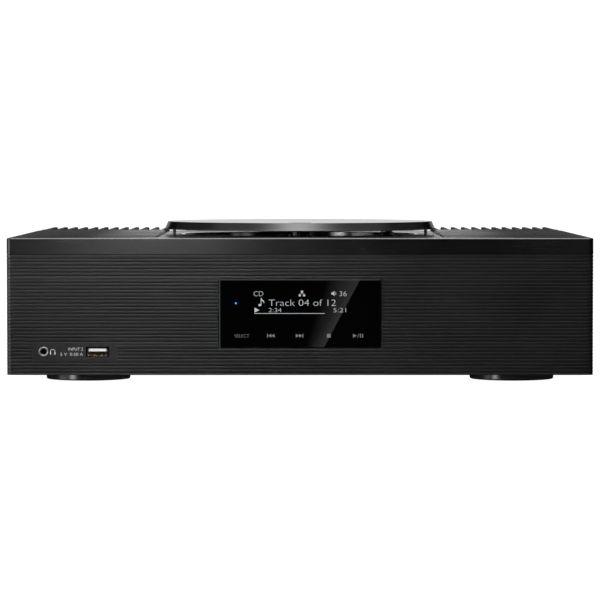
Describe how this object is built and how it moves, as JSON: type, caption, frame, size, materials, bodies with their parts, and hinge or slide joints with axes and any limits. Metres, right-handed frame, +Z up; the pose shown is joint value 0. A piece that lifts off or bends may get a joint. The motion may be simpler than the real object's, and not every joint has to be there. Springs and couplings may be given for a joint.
{
  "type": "top-loading cd player",
  "caption": "Low wide black disc player with a ribbed front, touch display, finned deck vents and a round lid that swings aside over the disc well.",
  "frame": {"origin": "centre of the footprint at the bottom of the foot pads", "axes": "+X to the right seen from the front, +Y to the rear, +Z up"},
  "size_m": [0.36, 0.248, 0.097],
  "materials": {
    "black_metal": "satin black",
    "black_anodised": "satin",
    "zinc_steel": "plain",
    "gloss_black": "polished",
    "rubber_black": "matte",
    "moulded_black": "moulded",
    "polished_ring": "polished",
    "gear_plastic": "moulded",
    "display_black": "gloss black",
    "panel_dark": "gloss",
    "blue_light": "lit",
    "circuit_board": "board",
    "light_plastic": "moulded",
    "gold_plate": "plated",
    "wound_parts": "varnished",
    "can_sleeve": "sleeve",
    "clear_lens": "coated"
  },
  "bodies": {
    "cabinet": {"base_chassis": "black_metal", "top_cap": "black_metal", "front_panel": "black_metal", "side_panel_left": "black_metal", "side_panel_right": "black_metal", "rear_panel": "black_metal", "vent_grille_left": "black_anodised", "vent_grille_right": "black_anodised", "case_screws": "zinc_steel", "feet": "gloss_black", "foot_pads": "rubber_black", "disc_well": "moulded_black", "well_ring": "polished_ring", "inner_screws": "zinc_steel", "lid_bush": "gold_plate", "lid_switch": "moulded_black", "lid_bumpers": "rubber_black", "drive_chassis": "zinc_steel", "drive_grommets": "rubber_black", "guide_rods": "zinc_steel", "spindle_motor": "zinc_steel", "feed_motor": "zinc_steel", "display_glass": "display_black", "display_module": "panel_dark", "status_led": "blue_light", "front_board": "circuit_board", "headphone_jack": "moulded_black", "jack_ring": "polished_ring", "usb_shell": "zinc_steel", "usb_tongue": "light_plastic", "usb_contacts": "gold_plate", "socket_board": "circuit_board", "mains_inlet": "moulded_black", "inlet_pins": "gold_plate", "line_jacks": "moulded_black", "line_jack_shells": "gold_plate", "lan_socket": "zinc_steel", "main_board": "circuit_board", "power_board": "circuit_board", "transformer": "wound_parts", "heatsink": "black_anodised", "reservoir_caps": "can_sleeve", "ribbon_cable": "light_plastic"},
    "lid": {"lid_plate": "gloss_black", "lid_backing": "black_metal", "lid_shaft": "zinc_steel", "lid_clip": "zinc_steel", "lid_lever": "moulded_black"},
    "turntable": {"spindle_shaft": "zinc_steel", "disc_hub": "gloss_black", "seat_ring": "rubber_black"},
    "ball_rear": {"hub_ball_rear": "zinc_steel"},
    "ball_left": {"hub_ball_left": "zinc_steel"},
    "ball_right": {"hub_ball_right": "zinc_steel"},
    "sled": {"pickup_sled": "moulded_black", "pickup_cover": "moulded_black"},
    "lens": {"lens_carrier": "moulded_black", "objective_lens": "clear_lens"},
    "feed_wheel": {"feed_gear": "gear_plastic"},
    "motor_pinion": {"feed_pinion": "zinc_steel"}
  },
  "joints": [
    {"name": "lid_swing", "type": "hinge", "parent": "cabinet", "child": "lid", "pos_m": [0.058, 0.058, 0.0884], "axis": [0, 0, 1], "range_deg": [0, 130]},
    {"name": "spindle_spin", "type": "hinge", "parent": "cabinet", "child": "turntable", "pos_m": [0, 0, 0.0856], "axis": [0, 0, 1], "continuous": true},
    {"name": "ball_rear_press", "type": "slide", "parent": "turntable", "child": "ball_rear", "axis": [-0.2588, -0.9659, 0], "range_m": [0, 0.0004], "stiffness_N_per_m": 100},
    {"name": "ball_left_press", "type": "slide", "parent": "turntable", "child": "ball_left", "axis": [0.9659, 0.2588, 0], "range_m": [0, 0.0004], "stiffness_N_per_m": 100},
    {"name": "ball_right_press", "type": "slide", "parent": "turntable", "child": "ball_right", "axis": [-0.7071, 0.7071, 0], "range_m": [0, 0.0004], "stiffness_N_per_m": 100},
    {"name": "sled_slide", "type": "slide", "parent": "cabinet", "child": "sled", "axis": [1, 0, 0], "range_m": [0, 0.034]},
    {"name": "lens_focus", "type": "slide", "parent": "sled", "child": "lens", "axis": [0, 0, 1], "range_m": [-0.0005, 0.0005], "stiffness_N_per_m": 30},
    {"name": "feed_gear_turn", "type": "hinge", "parent": "cabinet", "child": "feed_wheel", "pos_m": [0.04, 0.0318, 0.0774], "axis": [0, 0, 1], "range_deg": [-1, 407]},
    {"name": "feed_pinion_turn", "type": "hinge", "parent": "cabinet", "child": "motor_pinion", "pos_m": [0.0515, 0.0318, 0.0793], "axis": [0, 0, 1], "range_deg": [-1462, 1]}
  ],
  "couplings": [
    {"joint": "feed_gear_turn", "follows": "sled_slide", "rad_per_m": 208.33},
    {"joint": "feed_pinion_turn", "follows": "sled_slide", "rad_per_m": -750}
  ]
}
